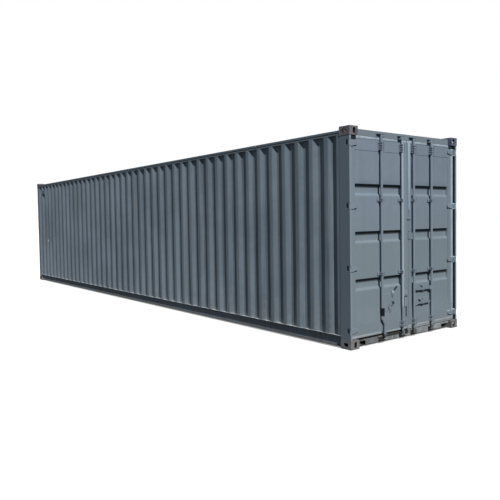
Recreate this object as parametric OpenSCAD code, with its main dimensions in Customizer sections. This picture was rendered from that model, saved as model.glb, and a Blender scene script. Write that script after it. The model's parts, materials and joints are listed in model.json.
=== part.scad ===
// Forty-foot high-cube storage container: welded steel box on eight corner castings,
// corrugated walls and roof, plywood floor, and a pair of cargo doors with four
// locking bars. X runs along the box with the doors at +X, Y across it, Z up.
// The origin is on the ground, under the middle of the box.

/* [Overall] */
// Length over the corner castings
box_l = 12192; // [6000:1:13800]
// Width over the corner castings
box_w = 2438; // [2000:1:2700]
// Height over the corner castings
box_h = 2896; // [2300:1:3300]

/* [Corner castings] */
// Length of a casting along the box
cast_l = 178; // [160:1:190]
// Width of a casting across the box
cast_w = 162; // [150:1:175]
// Height of a casting
cast_h = 118; // [110:1:130]
// Thickness of the casting walls that face outwards
cast_wall = 22; // [16:1:26]
// Thickness of the casting walls that face the box
cast_back = 10; // [8:1:11]
// Distance of the lock slots' centres from the ends of the box
lock_in_x = 103.5; // [98:0.5:108]
// Distance of the lock slots' centres from the sides of the box
lock_in_y = 89.5; // [84:0.5:94]
// Length of a lock slot
slot_l = 124; // [110:1:128]
// Width of a lock slot
slot_w = 63.5; // [55:0.5:68]
// Length of a lashing hole in a casting's side
lash_l = 79; // [60:1:84]
// Height of a lashing hole in a casting's side
lash_h = 51; // [40:1:56]

/* [Posts] */
// Set-back of posts and rails behind the casting faces
inset = 4; // [2:1:6]
// Plate thickness of the posts
post_t = 6; // [4:1:8]
// Depth of a door post along the box
door_post_d = 173; // [150:1:173]
// Width of a door post beside the door
door_post_w = 30; // [28:1:40]
// Depth of a front post along the box
front_post_d = 122; // [100:1:160]
// Width of a front post across the box
front_post_w = 90; // [60:1:120]

/* [Side walls] */
// Sheet thickness of walls, roof and door panels
sheet_t = 2; // [1.5:0.1:3]
// Set-back of the wall crests behind the casting faces
crest_in = 8; // [6:1:14]
// Depth of the wall corrugation
wave_d = 36; // [24:1:45]
// Distance from one crest to the next
wave_pitch = 278; // [220:1:320]
// Width of a flat crest
crest_w = 72; // [50:1:90]
// Width of a slope between crest and valley
slope_w = 68; // [40:1:75]
// Distance of the first crest from the door end
first_crest = 383; // [350:1:420]

/* [Rails] */
// Height of the top side rails
top_rail_h = 60; // [50:1:80]
// Width of the top side rails
top_rail_w = 60; // [50:1:80]
// Drop of the top side rails below the casting tops
top_rail_drop = 44; // [30:1:50]
// Height of the drip lip along a top side rail
lip_h = 30; // [20:1:40]
// Height of the bottom side rails
low_rail_h = 148; // [120:1:170]
// Width of the bottom side rails
low_rail_w = 46; // [36:1:60]
// Thickness of the bottom side rails
low_rail_t = 5; // [3:0.5:8]
// Height of the underframe above the ground
ground_gap = 18; // [12:1:30]

/* [Floor] */
// Thickness of the plywood floor
floor_t = 28; // [20:1:35]
// Height of the cross members
member_h = 122; // [90:1:130]
// Width of the cross members
member_w = 45; // [30:1:60]
// Thickness of the cross members
member_t = 4; // [3:0.5:6]
// Number of cross members
member_n = 36; // [10:1:42]

/* [Roof] */
// Depth of the roof corrugation
roof_wave_d = 16; // [8:1:20]
// Distance from one roof crest to the next
roof_pitch = 209; // [160:1:300]

/* [Door frame] */
// Depth of header and sill faces behind the casting faces
frame_in = 50; // [46:1:60]
// Depth of header and sill along the box
frame_d = 100; // [80:1:110]
// Height of the header face
header_h = 84; // [70:1:100]
// Drop of the header top below the casting tops
header_drop = 26; // [20:1:40]
// Height of the sill face above the underframe's lower edge
sill_h = 90; // [70:1:96]
// Width of the stop that the door seals press on
stop_w = 20; // [12:1:30]

/* [Doors] */
// Sideways offset of the line where the doors meet
split_y = 34; // [-40:1:40]
// Thickness of a door leaf
leaf_t = 50; // [45:1:52]
// Clearance around and between the leaves
leaf_gap = 6; // [5:1:9]
// Visible width of the door seals
seal_w = 24; // [12:1:30]
// Visible width of the seals where the doors meet
meet_seal_w = 44; // [24:1:50]
// Width of the door stiles on the hinge side
outer_stile_w = 90; // [70:1:110]
// Width of the door stiles where the doors meet
inner_stile_w = 60; // [50:1:70]
// Flat margin between stiles and recesses
recess_margin = 6; // [4:1:12]
// Height of the top and bottom door rails
door_rail_h = 150; // [120:1:170]
// Wall thickness of the door frame tubes
tube_t = 3; // [2:0.5:4]
// Set-back of the door panels behind the frame tubes
panel_in = 8; // [2:1:10]
// Height of a panel recess
recess_h = 154; // [120:1:180]
// Depth of a panel recess
recess_d = 36; // [20:1:38]
// Height of a recess slope
recess_slope = 22; // [12:1:40]
// Height of the lowest recess above the ground
recess_z = 750; // [700:1:760]
// Distance from one recess to the next
recess_pitch = 629; // [600:1:640]

/* [Hinges] */
// Distance of the hinge pins from the side and end faces
pin_in = 20; // [19:1:22]
// Radius of the hinge pins
pin_r = 12; // [9:0.5:13]
// Height of a hinge blade
blade_h = 52; // [44:1:90]
// Length of a hinge blade on the leaf
blade_l = 120; // [100:1:160]
// Thickness of a hinge blade
blade_t = 10; // [8:1:12]
// Thickness of a hinge lug
lug_t = 10; // [8:1:14]

/* [Locking gear] */
// Radius of a locking bar
bar_r = 17; // [13:0.5:18]
// Depth of the bar centres behind the casting faces
bar_in = 22; // [20:1:24]
// Distance of the left door's outer bar from the side of the box
bar_1_in = 662; // [600:1:690]
// Distance of the left door's inner bar from the door's meeting edge
bar_2_edge = 130; // [110:1:140]
// Distance of the right door's inner bar from the door's meeting edge
bar_3_edge = 120; // [110:1:140]
// Distance of the right door's outer bar from the side of the box
bar_4_in = 631; // [600:1:690]
// Height of the right door's upper handle above the ground
high_hub_z = 668; // [640:1:680]
// Height of the right door's lower handle above the ground
low_hub_z = 468; // [430:1:490]
// Height of the hub that is left on the left door's outer bar
left_hub_z = 427; // [410:1:460]
// Distance of a handle's free end from the next bar
handle_end_gap = 44; // [40:1:80]
// Height of a handle strap
handle_h = 32; // [20:1:36]
// Thickness of a handle strap
handle_t = 10; // [8:0.5:11]
// Sideways bend at the foot of the left door's outer bar
bent_by = 50; // [20:1:60]
// Height of the lock plate's lower edge above the ground
lock_z = 440; // [400:1:500]
// Height of the lock plate
lock_h = 160; // [120:1:180]

/* [Hidden] */
$fn = 48;
paint = [0.47, 0.51, 0.55];
worn = [0.36, 0.36, 0.37];
dark = [0.25, 0.24, 0.27];
pale = [0.70, 0.73, 0.76];
wood = [0.55, 0.42, 0.28];

clear = 5;
end_x = box_l / 2;
side_y = box_w / 2;
low_rail_top = ground_gap + low_rail_h;
top_cast_z = box_h - cast_h;
top_rail_top = box_h - top_rail_drop;
top_rail_low = top_rail_top - top_rail_h;
floor_z = ground_gap + member_h;
floor_top = floor_z + floor_t;
lip_out = 2;
low_rail_in = inset - lip_out + low_rail_w;
wall_low = low_rail_top;
wall_top = top_rail_low;
door_post_end = inset + door_post_d + 1;
front_post_end = box_l - inset - 1 - front_post_d;
rail_ends = [max(cast_l, door_post_end), box_l - cast_l];
header_low = box_h - header_drop - header_h;
sill_top = ground_gap - 4 + sill_h;
leaf_in = frame_in;
leaf_back = leaf_in + leaf_t;
stop_in = leaf_back + leaf_gap;
leaf_top = min(header_low, top_cast_z) - leaf_gap;
leaf_low = sill_top + leaf_gap + 16;
leaf_edge = inset + door_post_w + leaf_gap;
jamb_u = leaf_edge + stop_w - leaf_gap;
left_meet = side_y + split_y - leaf_gap;
right_meet = side_y - split_y - leaf_gap;
bar_2_in = left_meet - bar_2_edge;
bar_3_in = right_meet - bar_3_edge;
low_hinge_z = leaf_low + 109;
top_hinge_z = leaf_top - 92;
hinge_z = [for (k = [0:3]) low_hinge_z + k * (top_hinge_z - low_hinge_z) / 3];
lug_from = blade_h / 2 + 2;
pin_end = lug_from + lug_t + 3;
pin_play = 0.1;
rod_play = 1;
panel_z = [leaf_low + seal_w + door_rail_h, leaf_top - seal_w - door_rail_h];
recess_n = 1 + floor((panel_z[1] - recess_h - recess_z) / recess_pitch);
recess_levels = [for (k = [0:recess_n - 1]) recess_z + k * recess_pitch];
guide_z = [leaf_low + 86, recess_z + recess_h + 44, recess_levels[recess_n - 1] - 60,
  leaf_top - 102];
guide_h = [90, 40, 40, 112];
cam_top_z = header_low + 13;
cam_low_z = ground_gap + 32;
cam_h = 24;
cam_reach = 42;
hub_pivot = 44;
handle_l = bar_3_in - bar_4_in - hub_pivot - handle_end_gap;
handle_pin_r = 7;
keeper_w = 110;
keeper_t = 8;

// Places the left side's shape on both sides of the box.
module both_sides() {
  children();
  mirror([0, 1, 0]) children();
}

// Block between two depths behind the door end, two distances from the left side
// and two heights.
module block(d, u, z) {
  translate([end_x - d[1], -side_y + u[0], z[0]])
    cube([d[1] - d[0], u[1] - u[0], z[1] - z[0]]);
}

// Extrudes an outline given as [x, z] points from y0 to y1.
module across(y0, y1) {
  translate([0, y1, 0]) rotate([90, 0, 0]) linear_extrude(y1 - y0) children();
}

// Oblong hole of the given length, width and height, standing on z = 0.
module oblong(l, w, h) {
  for (s = [-1, 1]) translate([s * (l - w) / 2, 0, 0]) cylinder(r = w / 2, h = h);
  translate([-(l - w) / 2, -w / 2, 0]) cube([l - w, w, h]);
}

// One casting at the door end's left side, standing at the given height, with its
// lock slot in the bottom wall or in the top wall.
module casting(z, slot_wall) {
  slot_x = end_x - lock_in_x;
  slot_y = -side_y + lock_in_y;
  slot_z = slot_wall == "bottom" ? z - 1 : z + cast_h - cast_wall - 1;
  mid_z = z + cast_h / 2;
  difference() {
    block([0, cast_l], [0, cast_w], [z, z + cast_h]);
    block([cast_wall, cast_l - cast_back], [cast_wall, cast_w - cast_back],
      [z + cast_wall, z + cast_h - cast_wall]);
    translate([slot_x, slot_y, slot_z]) oblong(slot_l, slot_w, cast_wall + 2);
    translate([end_x - cast_l / 2, -side_y - 1, mid_z])
      rotate([-90, 0, 0]) oblong(lash_l, lash_h, cast_wall + 2);
    translate([end_x + 1, slot_y, mid_z])
      rotate([0, -90, 0]) oblong(lash_l, lash_h, cast_wall + 2);
  }
}

// Repeats the door end's left corner at all four corners.
module four_corners() {
  for (turn = [0, 1]) mirror([turn, 0, 0]) both_sides() children();
}

module top_corner_castings() {
  color(worn) four_corners() casting(top_cast_z, "top");
}

module bottom_corner_castings() {
  color(worn) four_corners() casting(0, "bottom");
}

// Space of the top castings, which sheets and stops leave free.
module top_casting_space() {
  four_corners() block([-1, cast_l], [-1, cast_w], [top_cast_z, box_h + 1]);
}

// Space of the posts from the ground up, which the floor leaves free.
module post_space() {
  both_sides() {
    block([0, door_post_end], [0, jamb_u], [0, box_h]);
    block([front_post_end, box_l], [0, inset + front_post_w], [0, box_h]);
  }
}

// Door posts: a front flange and a web, open towards the leaf, with a box behind
// the leaf that carries the seal. Each hinge has a notch round its pin.
module door_posts() {
  notch_r = 50;
  notch_h = 2 * pin_end + 4;
  front = inset + 1;
  web_u = inset + post_t;
  section = [[front, inset], [door_post_end, inset], [door_post_end, jamb_u],
    [stop_in, jamb_u], [stop_in, web_u], [front + post_t, web_u],
    [front + post_t, inset + door_post_w], [front, inset + door_post_w]];
  color(paint) both_sides() difference() {
    translate([0, 0, cast_h]) linear_extrude(top_cast_z - cast_h)
      polygon([for (p = section) [end_x - p[0], -side_y + p[1]]]);
    block([stop_in + post_t, door_post_end - post_t], [web_u, jamb_u - post_t],
      [cast_h - 1, top_cast_z + 1]);
    for (z = hinge_z)
      translate([end_x - pin_in, -side_y + pin_in, z - notch_h / 2])
        cylinder(r = notch_r, h = notch_h);
  }
}

module front_posts() {
  d = [front_post_end, front_post_end + front_post_d];
  u = [inset, inset + front_post_w];
  z = [cast_h, top_cast_z];
  color(paint) both_sides() difference() {
    block(d, u, z);
    block([d[0] + post_t, d[1] - post_t], [u[0] + post_t, u[1] - post_t],
      [z[0] - 1, z[1] + 1]);
  }
}

// Header: a box section between the top castings, with a stop behind the leaves.
module door_header() {
  z = [header_low, box_h - header_drop];
  u = [cast_w, box_w - cast_w];
  color(paint) {
    difference() {
      block([frame_in, frame_in + frame_d], u, z);
      block([frame_in + post_t, frame_in + frame_d - post_t],
        [u[0] - 1, u[1] + 1], [z[0] + post_t, z[1] - post_t]);
    }
    difference() {
      block([stop_in, frame_in + frame_d], [jamb_u, box_w - jamb_u],
        [leaf_top - seal_w - stop_w, z[0]]);
      top_casting_space();
    }
  }
}

// Sill: a box section between the bottom castings, with a cut-out from below beside
// each casting and a stop behind the leaves that reaches floor level.
module door_sill() {
  z = [ground_gap - 4, sill_top];
  u = [cast_w, box_w - cast_w];
  cut_w = 182;
  cut_h = 66;
  color(worn) {
    difference() {
      block([frame_in, frame_in + frame_d], u, z);
      block([frame_in + post_t, frame_in + frame_d - post_t],
        [u[0] - 1, u[1] + 1], [z[0] + post_t, z[1] - post_t]);
      for (y = [u[0], u[1] - cut_w])
        block([frame_in - 1, frame_in + frame_d - post_t], [y - 1, y + cut_w + 1],
          [z[0] - 1, z[0] + cut_h]);
    }
    block([stop_in, frame_in + frame_d], u, [z[1], floor_top]);
    block([stop_in, frame_in + frame_d], [jamb_u, box_w - jamb_u], [cast_h, floor_top]);
  }
}

// Box tube between the front castings at the given height.
module front_rail(z) {
  d = [box_l - inset - 1 - top_rail_w, box_l - inset - 1];
  u = [cast_w, box_w - cast_w];
  difference() {
    block(d, u, z);
    block([d[0] + tube_t, d[1] - tube_t], [u[0] - 1, u[1] + 1],
      [z[0] + tube_t, z[1] - tube_t]);
  }
}

module front_top_rail() {
  color(paint) front_rail([top_rail_low, box_h - header_drop]);
}

module front_bottom_rail() {
  color(dark) front_rail([ground_gap, low_rail_top]);
}

// Tube with a drip lip along its upper outer edge, between the top castings.
module top_side_rails() {
  u = [crest_in, crest_in + top_rail_w];
  z = [top_rail_low, top_rail_top];
  color(paint) both_sides() {
    difference() {
      block([cast_l, box_l - cast_l], u, z);
      block([cast_l - 1, box_l - cast_l + 1], [u[0] + tube_t, u[1] - tube_t],
        [z[0] + tube_t, z[1] - tube_t]);
    }
    block([cast_l, box_l - cast_l], [inset - lip_out, u[0]], [z[1] - lip_h, z[1]]);
  }
}

// Channel open to the outside, between the bottom castings. Its upper part runs on
// over the front castings to the front posts.
module bottom_side_rails() {
  u = [inset - lip_out, low_rail_in];
  z = [ground_gap, low_rail_top];
  color(dark) both_sides() difference() {
    union() {
      block(rail_ends, u, z);
      block([rail_ends[1], front_post_end], u, [cast_h, z[1]]);
    }
    block([rail_ends[0] - 1, front_post_end + 1], [u[0] - 1, u[1] - low_rail_t],
      [z[0] + low_rail_t, z[1] - low_rail_t]);
  }
}

// Outer line of a side wall as [distance from the door end, depth of the face]
// points: a flat beside the post, then one crest after another.
valley_w = wave_pitch - crest_w - 2 * slope_w;
crest_n = floor((front_post_end - first_crest - 5) / wave_pitch);
function wave_line() = [
  [door_post_end, 0], [door_post_end + 55, 0], [door_post_end + 93, wave_d],
  for (k = [0:crest_n - 1]) let (s = first_crest + k * wave_pitch)
    each [[s - slope_w, wave_d], [s, 0], [s + crest_w, 0],
      [s + crest_w + slope_w, wave_d]],
  for (s = [first_crest + crest_n * wave_pitch - slope_w])
    each [[s, wave_d], [s + slope_w, 0]],
  [front_post_end, 0]
];

module side_wall() {
  outer = wave_line();
  n = len(outer) - 1;
  face = [for (p = outer) [end_x - p[0], -side_y + crest_in + p[1]]];
  back = [for (k = [n:-1:0]) face[k] + [0, sheet_t]];
  difference() {
    translate([0, 0, wall_low]) linear_extrude(wall_top - wall_low)
      polygon(concat(face, back));
    top_casting_space();
  }
}

module left_side_wall() {
  color(paint) side_wall();
}

module right_side_wall() {
  color(paint) mirror([0, 1, 0]) side_wall();
}

// Front wall: the same corrugation between the front posts.
module front_wall() {
  span = box_w - 2 * (inset + front_post_w);
  waves = floor((span - 60) / wave_pitch);
  start = -waves * wave_pitch / 2 + crest_w / 2;
  line = concat([[-span / 2, 0], [start - crest_w, 0]],
    [for (k = [0:waves - 1]) let (s = start + k * wave_pitch)
      each [[s - crest_w + slope_w, wave_d], [s - crest_w + slope_w + valley_w, wave_d],
        [s - crest_w + 2 * slope_w + valley_w, 0],
        [s + 2 * slope_w + valley_w, 0]]],
    [[span / 2, 0]]);
  n = len(line) - 1;
  face = [for (p = line) [-end_x + crest_in + p[1], p[0]]];
  back = [for (k = [n:-1:0]) face[k] + [sheet_t, 0]];
  color(paint) difference() {
    translate([0, 0, wall_low]) linear_extrude(wall_top - wall_low)
      polygon(concat(face, back));
    top_casting_space();
  }
}

// Roof sheet with ribs across the box, on the top rails.
module roof_panel() {
  ends = [-end_x + inset + 1 + top_rail_w, end_x - frame_in - frame_d];
  waves = floor((ends[1] - ends[0] - 100) / roof_pitch);
  start = (ends[0] + ends[1] - waves * roof_pitch) / 2;
  rib = roof_pitch / 4;
  line = concat([[ends[0], roof_wave_d]],
    [for (k = [0:waves - 1]) let (s = start + k * roof_pitch)
      each [[s + rib / 2, roof_wave_d], [s + rib, 0], [s + 2.5 * rib, 0],
        [s + 3 * rib, roof_wave_d]]],
    [[ends[1], roof_wave_d]]);
  n = len(line) - 1;
  low = [for (p = line) [p[0], top_rail_top + p[1]]];
  top = [for (k = [n:-1:0]) low[k] + [0, sheet_t]];
  edge = side_y - crest_in - 4;
  color(paint) difference() {
    across(-edge, edge) polygon(concat(low, top));
    top_casting_space();
  }
}

module floor_boards() {
  color(wood) difference() {
    block([frame_in + frame_d, box_l - inset - 1 - top_rail_w],
      [low_rail_in, box_w - low_rail_in], [floor_z, floor_top]);
    post_space();
  }
}

// Channels under the floor, from one bottom rail to the other.
module cross_members() {
  u = low_rail_in;
  first = frame_in + frame_d + 150;
  step = (box_l - 2 * first) / (member_n - 1);
  color(dark) for (k = [0:member_n - 1]) {
    d = first + k * step;
    difference() {
      block([d, d + member_w], [u, box_w - u], [ground_gap, floor_z]);
      block([d + member_t, d + member_w + 1], [u - 1, box_w - u + 1],
        [ground_gap + member_t, floor_z - member_t]);
    }
  }
}

// Pairs of lugs in the left door post, each pair with its pin.
module hinge_lugs() {
  lug_r = 18;
  web_u = inset + post_t;
  for (z = hinge_z) translate([end_x - pin_in, -side_y + pin_in, z]) {
    for (s = [lug_from, -lug_from - lug_t]) translate([0, 0, s]) {
      cylinder(r = lug_r, h = lug_t);
      translate([pin_in - stop_in, web_u - pin_in, 0])
        cube([stop_in - pin_in, 2 * (pin_in - web_u), lug_t]);
    }
    translate([0, 0, -pin_end]) cylinder(r = pin_r, h = 2 * pin_end);
  }
}

module left_hinge_lugs() {
  color(worn) hinge_lugs();
}

module right_hinge_lugs() {
  color(worn) mirror([0, 1, 0]) hinge_lugs();
}

// Keeper of one bar at the left side's distance u: a plate on the frame, a ledge
// beyond the bar's end and a prong under the cam's tip. side is the way the cam
// points and up is the way the bar's end faces.
module keeper(u, side, z, up) {
  face = frame_in;
  cam_gap = cam_h + 2 * clear;
  translate([end_x - face, -side_y + u, z]) scale_z(up) {
    translate([0, -keeper_w / 2, -clear - keeper_t]) cube([5, keeper_w, cam_gap + 2 * keeper_t]);
    translate([0, -keeper_w / 2, cam_h + clear]) cube([face - 10, keeper_w, keeper_t]);
    translate([0, side > 0 ? bar_r + 6 : -bar_r - 6 - 30, -clear - keeper_t])
      cube([face - 10, 30, keeper_t]);
  }
}

// Turns a shape upside down where up is -1.
module scale_z(up) {
  if (up > 0) children();
  else mirror([0, 0, 1]) children();
}

module keepers(z, up) {
  keeper(bar_1_in, 1, z, up);
  keeper(bar_2_in, -1, z, up);
  keeper(box_w - bar_3_in, 1, z, up);
  keeper(box_w - bar_4_in, -1, z, up);
}

module header_keepers() {
  color(paint) keepers(cam_top_z, 1);
}

module sill_keepers() {
  color(worn) keepers(cam_low_z + cam_h, -1);
}

// Small vent hoods high on the side walls, one near each end.
module air_vents() {
  overlap = 10;
  vent_w = wave_pitch - crest_w + 2 * overlap;
  vent_h = 110;
  z = box_h - 330;
  near = first_crest + crest_w - overlap;
  far = near + (crest_n - 2) * wave_pitch;
  for (place = [[far, 0], [near, 1]])
    color(paint) mirror([0, place[1], 0])
      block([place[0], place[0] + vent_w], [inset - lip_out, crest_in], [z, z + vent_h]);
}

// Frame of a leaf that reaches from the hinge side to the distance meet.
module leaf_frame(meet) {
  d = [leaf_in, leaf_back];
  hollow = [leaf_in + tube_t, leaf_back - tube_t];
  u = [leaf_edge + seal_w, meet - meet_seal_w];
  open_u = [u[0] + outer_stile_w, u[1] - inner_stile_w];
  z = [leaf_low + seal_w, leaf_top - seal_w];
  difference() {
    block(d, u, z);
    block([d[0] - 1, d[1] + 1], open_u, [z[0] + door_rail_h, z[1] - door_rail_h]);
    for (stile = [[u[0], open_u[0]], [open_u[1], u[1]]])
      block(hollow, [stile[0] + tube_t, stile[1] - tube_t],
        [z[0] + tube_t, z[1] - tube_t]);
    for (s = [z[0], z[1] - door_rail_h])
      block(hollow, [open_u[0] + tube_t, open_u[1] - tube_t],
        [s + tube_t, s + door_rail_h - tube_t]);
  }
}

// Outline of a recess as [depth, height] points, grown by t.
function recess_outline(z, t) = let (d = leaf_in + panel_in) [
  [d - 1 + t, z - 1.5 * t],
  [d + t / 2, z - 1.5 * t],
  [d + recess_d + t, z + recess_slope - t],
  [d + recess_d + t, z + recess_h - recess_slope + t],
  [d + t / 2, z + recess_h + 1.5 * t],
  [d - 1 + t, z + recess_h + 1.5 * t]
];

// Opening in a leaf's frame as distances from the side of the box.
function panel_u(meet) =
  [leaf_edge + seal_w + outer_stile_w, meet - meet_seal_w - inner_stile_w];

// Pressed sheet that fills a leaf's frame, with level recesses.
module leaf_panel(meet) {
  u = panel_u(meet);
  y = [-side_y + u[0] + recess_margin, -side_y + u[1] - recess_margin];
  d = leaf_in + panel_in;
  difference() {
    union() {
      block([d, d + sheet_t], u, panel_z);
      for (s = recess_levels) across(y[0] - sheet_t, y[1] + sheet_t)
        polygon([for (p = recess_outline(s, sheet_t)) [end_x - p[0], p[1]]]);
    }
    for (s = recess_levels) across(y[0], y[1])
      polygon([for (p = recess_outline(s, 0)) [end_x - p[0], p[1]]]);
  }
}

// Rubber seal around a leaf.
module leaf_seal(meet) {
  d = [leaf_in + 6, leaf_back + 1];
  difference() {
    block(d, [leaf_edge, meet], [leaf_low, leaf_top]);
    block([d[0] - 1, d[1] + 1], [leaf_edge + seal_w, meet - meet_seal_w],
      [leaf_low + seal_w, leaf_top - seal_w]);
  }
}

// Lock plate on the left leaf's inner stile: a raised frame with a block above it and
// a hasp below it.
module left_lock_plate() {
  u = [left_meet - meet_seal_w - 28, left_meet - 2];
  z = [lock_z, lock_z + lock_h];
  rim = 10;
  hasp = [u[0] + 40, u[0] + 58];
  color(paint) {
    difference() {
      block([leaf_in - 12, leaf_in], u, z);
      block([leaf_in - 13, leaf_in - 5], [u[0] + rim, u[1] - rim], [z[0] + rim, z[1] - rim]);
    }
    block([leaf_in - 9, leaf_in - 3], hasp, [z[0] - 140, z[0]]);
    block([leaf_in - 8, leaf_in], u, [z[1] + 10, z[1] + 70]);
  }
}

// Hinge blades: a barrel on each pin, with an arm to a plate on the leaf.
module hinge_blades() {
  barrel_r = 15;
  for (z = hinge_z) difference() {
    union() {
      translate([end_x - pin_in, -side_y + pin_in, z - blade_h / 2])
        cylinder(r = barrel_r, h = blade_h);
      block([pin_in, leaf_in], [pin_in, pin_in + 28], [z - blade_h / 2, z + blade_h / 2]);
      block([leaf_in - blade_t, leaf_in], [pin_in + 10, leaf_edge + seal_w + blade_l],
        [z - blade_h / 2, z + blade_h / 2]);
    }
    translate([end_x - pin_in, -side_y + pin_in, z - blade_h / 2 - 1])
      cylinder(r = pin_r + pin_play, h = blade_h + 2);
  }
}

// Guides that hold one bar at the distance u on its leaf, from the given one up. The
// middle two reach the panel, which spans the distances in panel.
module bar_guides(u, first, panel) {
  guide_w = 25;
  for (k = [first:3]) {
    tall = guide_h[k];
    foot_w = (k == 1 || k == 2) ? 66 : 50;
    z = guide_z[k];
    difference() {
      union() {
        block([bar_in - bar_r - 4, leaf_in], [u - guide_w, u + guide_w],
          [z - tall / 2, z + tall / 2]);
        block([leaf_in - 6, leaf_in], [u - foot_w, u + foot_w],
          [z - tall / 2, z + tall / 2]);
        if (k == 1 || k == 2)
          block([leaf_in - 1, leaf_in + panel_in],
            [max(u - foot_w, panel[0]), min(u + foot_w, panel[1])],
            [z - tall / 2, z + tall / 2]);
      }
      translate([end_x - bar_in, -side_y + u, z - tall / 2 - 1])
        cylinder(r = bar_r + rod_play, h = tall + 2);
    }
  }
}

// Rest on the leaf for a handle: a plate behind it and a shelf under it. side is the
// way the handle points from its bar.
module handle_rest(u, side, z) {
  rest_w = 70;
  shelf_t = 8;
  low = z - handle_h / 2 - clear;
  mid = u + side * (hub_pivot + handle_l / 2);
  across_w = [mid - rest_w / 2, mid + rest_w / 2];
  block([leaf_in - 6, leaf_in + panel_in], across_w, [low - shelf_t, z + 80]);
  block([bar_in - 10, leaf_in - 6], across_w, [low - shelf_t, low]);
}

// Cam of a locking bar: a nose of the given height that points to side.
module cam(side) {
  translate([-bar_r, side > 0 ? 0 : -cam_reach, 0]) cube([bar_r + 12, cam_reach, cam_h]);
}

// Hub of a locking bar: a fork with the pin that carries the handle.
module hub(side) {
  hub_h = 56;
  fork_l = hub_pivot + 18;
  slot_t = handle_t + 2;
  slot_from = bar_r + 6;
  difference() {
    translate([-14, side > 0 ? 0 : -fork_l, -hub_h / 2]) cube([28, fork_l, hub_h]);
    translate([-slot_t / 2, side > 0 ? slot_from : -fork_l - 1, -hub_h / 2 - 1])
      cube([slot_t, fork_l - slot_from + 1, hub_h + 2]);
  }
  translate([-14, side * hub_pivot, 0]) rotate([0, 90, 0]) cylinder(r = handle_pin_r, h = 28);
}

// Straight locking bar at the distance u, with hubs at the given heights. side is the
// way cams and handle point.
module locking_bar(u, side, hubs) {
  translate([end_x - bar_in, -side_y + u, 0]) {
    translate([0, 0, cam_low_z]) cylinder(r = bar_r, h = cam_top_z + cam_h - cam_low_z);
    translate([0, 0, cam_low_z]) cam(side);
    translate([0, 0, cam_top_z]) cam(side);
    for (z = hubs) translate([0, 0, z]) hub(side);
  }
}

// Locking bar whose foot is bent sideways, clear of its keeper.
module bent_bar(u, side, z) {
  bend_top = left_hub_z - 97;
  bend_h = 68;
  tilt = atan(bent_by / bend_h);
  foot_z = cam_low_z + cam_h + 2 * clear + keeper_t + 5;
  translate([end_x - bar_in, -side_y + u, 0]) {
    translate([0, 0, bend_top]) cylinder(r = bar_r, h = cam_top_z + cam_h - bend_top);
    translate([0, 0, bend_top]) {
      sphere(r = bar_r);
      rotate([180 + side * tilt, 0, 0]) cylinder(r = bar_r, h = bend_h / cos(tilt));
    }
    translate([0, side * bent_by, bend_top - bend_h]) sphere(r = bar_r);
    translate([0, side * bent_by, foot_z])
      cylinder(r = bar_r, h = bend_top - bend_h - foot_z);
    translate([0, side * bent_by, foot_z]) cam(side);
    translate([0, 0, cam_top_z]) cam(side);
    translate([0, 0, z]) hub(side);
  }
}

// Flat handle on its pivot, with a grip at the free end.
module handle(u, side, z) {
  end_r = handle_h / 2;
  translate([end_x - bar_in, -side_y + u + side * hub_pivot, z]) difference() {
    union() {
      translate([-handle_t / 2, 0, 0]) rotate([0, 90, 0]) cylinder(r = end_r, h = handle_t);
      translate([-handle_t / 2, side > 0 ? 0 : -handle_l + end_r, -end_r])
        cube([handle_t, handle_l - end_r, handle_h]);
      translate([-handle_t / 2, side * (handle_l - end_r), 0])
        rotate([0, 90, 0]) cylinder(r = end_r, h = handle_t);
    }
    translate([-handle_t / 2 - 1, 0, 0]) rotate([0, 90, 0])
      cylinder(r = handle_pin_r + pin_play, h = handle_t + 2);
  }
}

module left_door_frame() {
  color(paint) leaf_frame(left_meet);
}

module left_door_panel() {
  color(paint) leaf_panel(left_meet);
}

module left_door_seal() {
  color(pale) leaf_seal(left_meet);
}

module left_hinge_blades() {
  color(worn) hinge_blades();
}

module left_bar_guides() {
  color(paint) {
    bar_guides(bar_1_in, 1, panel_u(left_meet));
    bar_guides(bar_2_in, 0, panel_u(left_meet));
  }
}

module right_door_frame() {
  color(paint) mirror([0, 1, 0]) leaf_frame(right_meet);
}

module right_door_panel() {
  color(paint) mirror([0, 1, 0]) leaf_panel(right_meet);
}

module right_door_seal() {
  color(pale) mirror([0, 1, 0]) leaf_seal(right_meet);
}

module right_hinge_blades() {
  color(worn) mirror([0, 1, 0]) hinge_blades();
}

module right_bar_guides() {
  color(paint) {
    panel = [box_w - panel_u(right_meet)[1], box_w - panel_u(right_meet)[0]];
    bar_guides(box_w - bar_3_in, 0, panel);
    bar_guides(box_w - bar_4_in, 0, panel);
  }
}

module right_handle_rests() {
  color(paint) {
    handle_rest(box_w - bar_3_in, 1, low_hub_z);
    handle_rest(box_w - bar_4_in, -1, high_hub_z);
  }
}

module left_outer_bar() {
  color(paint) bent_bar(bar_1_in, 1, left_hub_z);
}

module left_inner_bar() {
  color(pale) locking_bar(bar_2_in, -1, []);
}

module right_inner_bar() {
  color(paint) locking_bar(box_w - bar_3_in, 1, [low_hub_z]);
}

module right_outer_bar() {
  color(paint) locking_bar(box_w - bar_4_in, -1, [high_hub_z]);
}

module right_inner_handle() {
  color(dark) handle(box_w - bar_3_in, 1, low_hub_z);
}

module right_outer_handle() {
  color(dark) handle(box_w - bar_4_in, -1, high_hub_z);
}

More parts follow.
